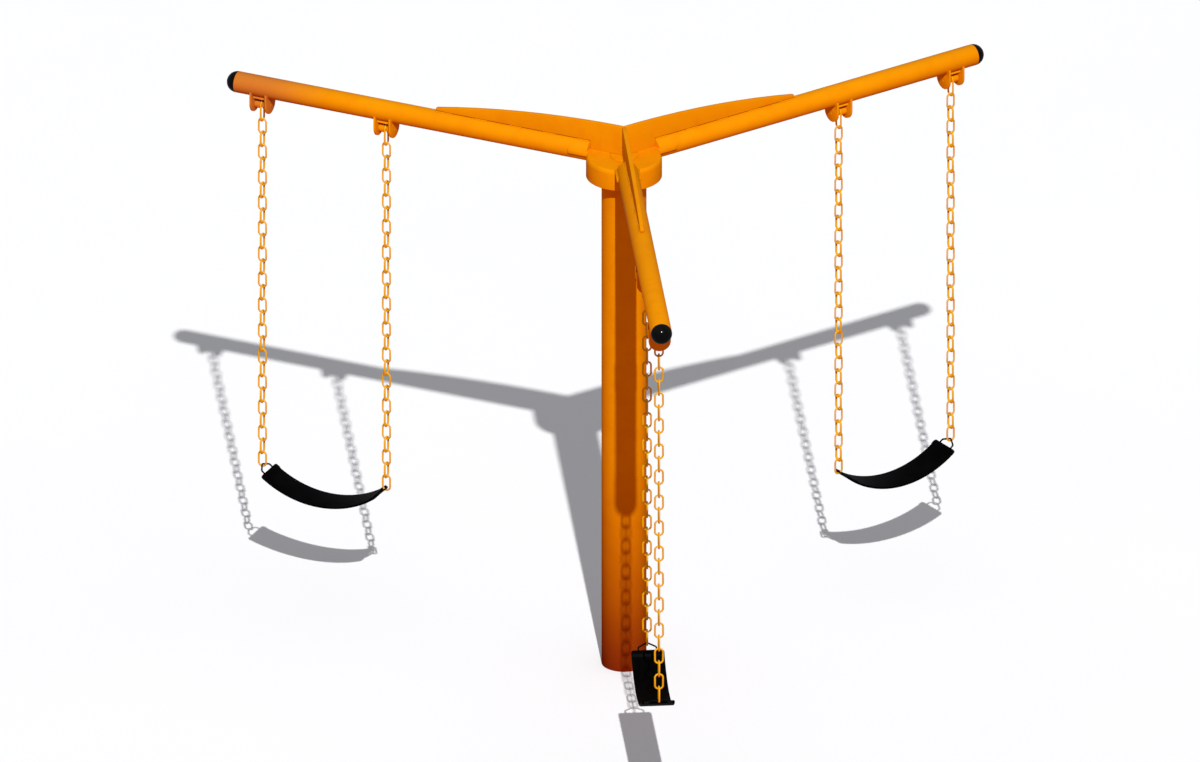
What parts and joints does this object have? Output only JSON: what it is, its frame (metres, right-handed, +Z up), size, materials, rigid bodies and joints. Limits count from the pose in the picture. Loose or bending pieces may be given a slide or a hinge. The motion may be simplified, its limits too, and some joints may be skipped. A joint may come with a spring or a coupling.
{
  "type": "swing set",
  "caption": "Swing set with tubular arms fanned out from a round hub on a central post, each arm carrying a sagging belt seat on chains hung from pinned brackets.",
  "frame": {"origin": "centre of the post's foot, where it meets the ground", "axes": "+Z up along the post; one arm runs along -Y, the other two at 30 and 150 degrees from +X about +Z"},
  "size_m": [3.2764, 2.8502, 2.542],
  "materials": {
    "frame_paint": "satin yellow-orange powder coat over welded steel tube and plate",
    "chain_paint": "yellow-orange coating on welded round-wire chain",
    "cap_plastic": "glossy black moulded plastic",
    "belt_rubber": "smooth black moulded rubber with a dull sheen",
    "ring_coat": "black coated steel rod"
  },
  "bodies": {
    "frame": {"post_tube": "frame_paint", "hub_drum": "frame_paint", "hub_boss": "frame_paint", "arm_tube_front": "frame_paint", "arm_end_cap_front": "cap_plastic", "arm_gusset_front": "frame_paint", "arm_tongue_front": "frame_paint", "arm_tube_right": "frame_paint", "arm_end_cap_right": "cap_plastic", "arm_gusset_right": "frame_paint", "arm_tongue_right": "frame_paint", "arm_tube_left": "frame_paint", "arm_end_cap_left": "cap_plastic", "arm_gusset_left": "frame_paint", "arm_tongue_left": "frame_paint", "hanger_bracket_front_inner": "frame_paint", "hanger_pin_front_inner": "frame_paint", "hanger_bracket_front_outer": "frame_paint", "hanger_pin_front_outer": "frame_paint", "hanger_bracket_right_inner": "frame_paint", "hanger_pin_right_inner": "frame_paint", "hanger_bracket_right_outer": "frame_paint", "hanger_pin_right_outer": "frame_paint", "hanger_bracket_left_inner": "frame_paint", "hanger_pin_left_inner": "frame_paint", "hanger_bracket_left_outer": "frame_paint", "hanger_pin_left_outer": "frame_paint"},
    "hanger_links_front": {"hanger_bush_front_inner": "frame_paint", "hanger_bush_front_outer": "frame_paint", "hanger_link_front_inner": "chain_paint", "hanger_link_front_outer": "chain_paint"},
    "chain_front_inner": {"chain_front_inner": "chain_paint"},
    "end_link_front_inner": {"end_link_front_inner": "chain_paint"},
    "chain_front_outer": {"chain_front_outer": "chain_paint"},
    "end_link_front_outer": {"end_link_front_outer": "chain_paint"},
    "seat_front": {"belt_seat_front": "belt_rubber", "seat_ring_front_inner": "ring_coat", "seat_ring_front_outer": "ring_coat"},
    "hanger_links_right": {"hanger_bush_right_inner": "frame_paint", "hanger_bush_right_outer": "frame_paint", "hanger_link_right_inner": "chain_paint", "hanger_link_right_outer": "chain_paint"},
    "chain_right_inner": {"chain_right_inner": "chain_paint"},
    "end_link_right_inner": {"end_link_right_inner": "chain_paint"},
    "chain_right_outer": {"chain_right_outer": "chain_paint"},
    "end_link_right_outer": {"end_link_right_outer": "chain_paint"},
    "seat_right": {"belt_seat_right": "belt_rubber", "seat_ring_right_inner": "ring_coat", "seat_ring_right_outer": "ring_coat"},
    "hanger_links_left": {"hanger_bush_left_inner": "frame_paint", "hanger_bush_left_outer": "frame_paint", "hanger_link_left_inner": "chain_paint", "hanger_link_left_outer": "chain_paint"},
    "chain_left_inner": {"chain_left_inner": "chain_paint"},
    "end_link_left_inner": {"end_link_left_inner": "chain_paint"},
    "chain_left_outer": {"chain_left_outer": "chain_paint"},
    "end_link_left_outer": {"end_link_left_outer": "chain_paint"},
    "seat_left": {"belt_seat_left": "belt_rubber", "seat_ring_left_inner": "ring_coat", "seat_ring_left_outer": "ring_coat"}
  },
  "joints": [
    {"name": "swing_front", "type": "hinge", "parent": "frame", "child": "hanger_links_front", "pos_m": [0, -1.425, 2.316], "axis": [0, -1, 0], "range_deg": [-55, 55]},
    {"name": "sway_front", "type": "hinge", "parent": "hanger_links_front", "child": "chain_front_inner", "pos_m": [0, -1.13, 2.239], "axis": [1, 0, 0], "range_deg": [-12, 12]},
    {"name": "end_link_turn_front_inner", "type": "hinge", "parent": "chain_front_inner", "child": "end_link_front_inner", "pos_m": [0, -1.13, 0.66158], "axis": [1, 0, 0], "range_deg": [-12, 12]},
    {"name": "sway_front_outer", "type": "hinge", "parent": "hanger_links_front", "child": "chain_front_outer", "pos_m": [0, -1.72, 2.239], "axis": [1, 0, 0], "range_deg": [-12, 12]},
    {"name": "end_link_turn_front_outer", "type": "hinge", "parent": "chain_front_outer", "child": "end_link_front_outer", "pos_m": [0, -1.72, 0.66158], "axis": [1, 0, 0], "range_deg": [-12, 12]},
    {"name": "seat_tilt_front", "type": "hinge", "parent": "end_link_front_inner", "child": "seat_front", "pos_m": [0, -1.13, 0.60091], "axis": [0, -1, 0], "range_deg": [-30, 30]},
    {"name": "swing_right", "type": "hinge", "parent": "frame", "child": "hanger_links_right", "pos_m": [1.23409, 0.7125, 2.316], "axis": [0.866, 0.5, 0], "range_deg": [-55, 55]},
    {"name": "sway_right", "type": "hinge", "parent": "hanger_links_right", "child": "chain_right_inner", "pos_m": [0.97861, 0.565, 2.239], "axis": [-0.5, 0.866, 0], "range_deg": [-12, 12]},
    {"name": "end_link_turn_right_inner", "type": "hinge", "parent": "chain_right_inner", "child": "end_link_right_inner", "pos_m": [0.97861, 0.565, 0.66158], "axis": [-0.5, 0.866, 0], "range_deg": [-12, 12]},
    {"name": "sway_right_outer", "type": "hinge", "parent": "hanger_links_right", "child": "chain_right_outer", "pos_m": [1.48956, 0.86, 2.239], "axis": [-0.5, 0.866, 0], "range_deg": [-12, 12]},
    {"name": "end_link_turn_right_outer", "type": "hinge", "parent": "chain_right_outer", "child": "end_link_right_outer", "pos_m": [1.48956, 0.86, 0.66158], "axis": [-0.5, 0.866, 0], "range_deg": [-12, 12]},
    {"name": "seat_tilt_right", "type": "hinge", "parent": "end_link_right_inner", "child": "seat_right", "pos_m": [0.97861, 0.565, 0.60091], "axis": [0.866, 0.5, 0], "range_deg": [-30, 30]},
    {"name": "swing_left", "type": "hinge", "parent": "frame", "child": "hanger_links_left", "pos_m": [-1.23409, 0.7125, 2.316], "axis": [-0.866, 0.5, 0], "range_deg": [-55, 55]},
    {"name": "sway_left", "type": "hinge", "parent": "hanger_links_left", "child": "chain_left_inner", "pos_m": [-0.97861, 0.565, 2.239], "axis": [-0.5, -0.866, 0], "range_deg": [-12, 12]},
    {"name": "end_link_turn_left_inner", "type": "hinge", "parent": "chain_left_inner", "child": "end_link_left_inner", "pos_m": [-0.97861, 0.565, 0.66158], "axis": [-0.5, -0.866, 0], "range_deg": [-12, 12]},
    {"name": "sway_left_outer", "type": "hinge", "parent": "hanger_links_left", "child": "chain_left_outer", "pos_m": [-1.48956, 0.86, 2.239], "axis": [-0.5, -0.866, 0], "range_deg": [-12, 12]},
    {"name": "end_link_turn_left_outer", "type": "hinge", "parent": "chain_left_outer", "child": "end_link_left_outer", "pos_m": [-1.48956, 0.86, 0.66158], "axis": [-0.5, -0.866, 0], "range_deg": [-12, 12]},
    {"name": "seat_tilt_left", "type": "hinge", "parent": "end_link_left_inner", "child": "seat_left", "pos_m": [-0.97861, 0.565, 0.60091], "axis": [-0.866, 0.5, 0], "range_deg": [-30, 30]}
  ],
  "couplings": [
    {"joint": "end_link_turn_front_inner", "follows": "sway_front", "ratio": -1},
    {"joint": "end_link_turn_front_outer", "follows": "sway_front", "ratio": -1},
    {"joint": "sway_front_outer", "follows": "sway_front", "ratio": 1},
    {"joint": "end_link_turn_right_inner", "follows": "sway_right", "ratio": -1},
    {"joint": "end_link_turn_right_outer", "follows": "sway_right", "ratio": -1},
    {"joint": "sway_right_outer", "follows": "sway_right", "ratio": 1},
    {"joint": "end_link_turn_left_inner", "follows": "sway_left", "ratio": -1},
    {"joint": "end_link_turn_left_outer", "follows": "sway_left", "ratio": -1},
    {"joint": "sway_left_outer", "follows": "sway_left", "ratio": 1}
  ]
}
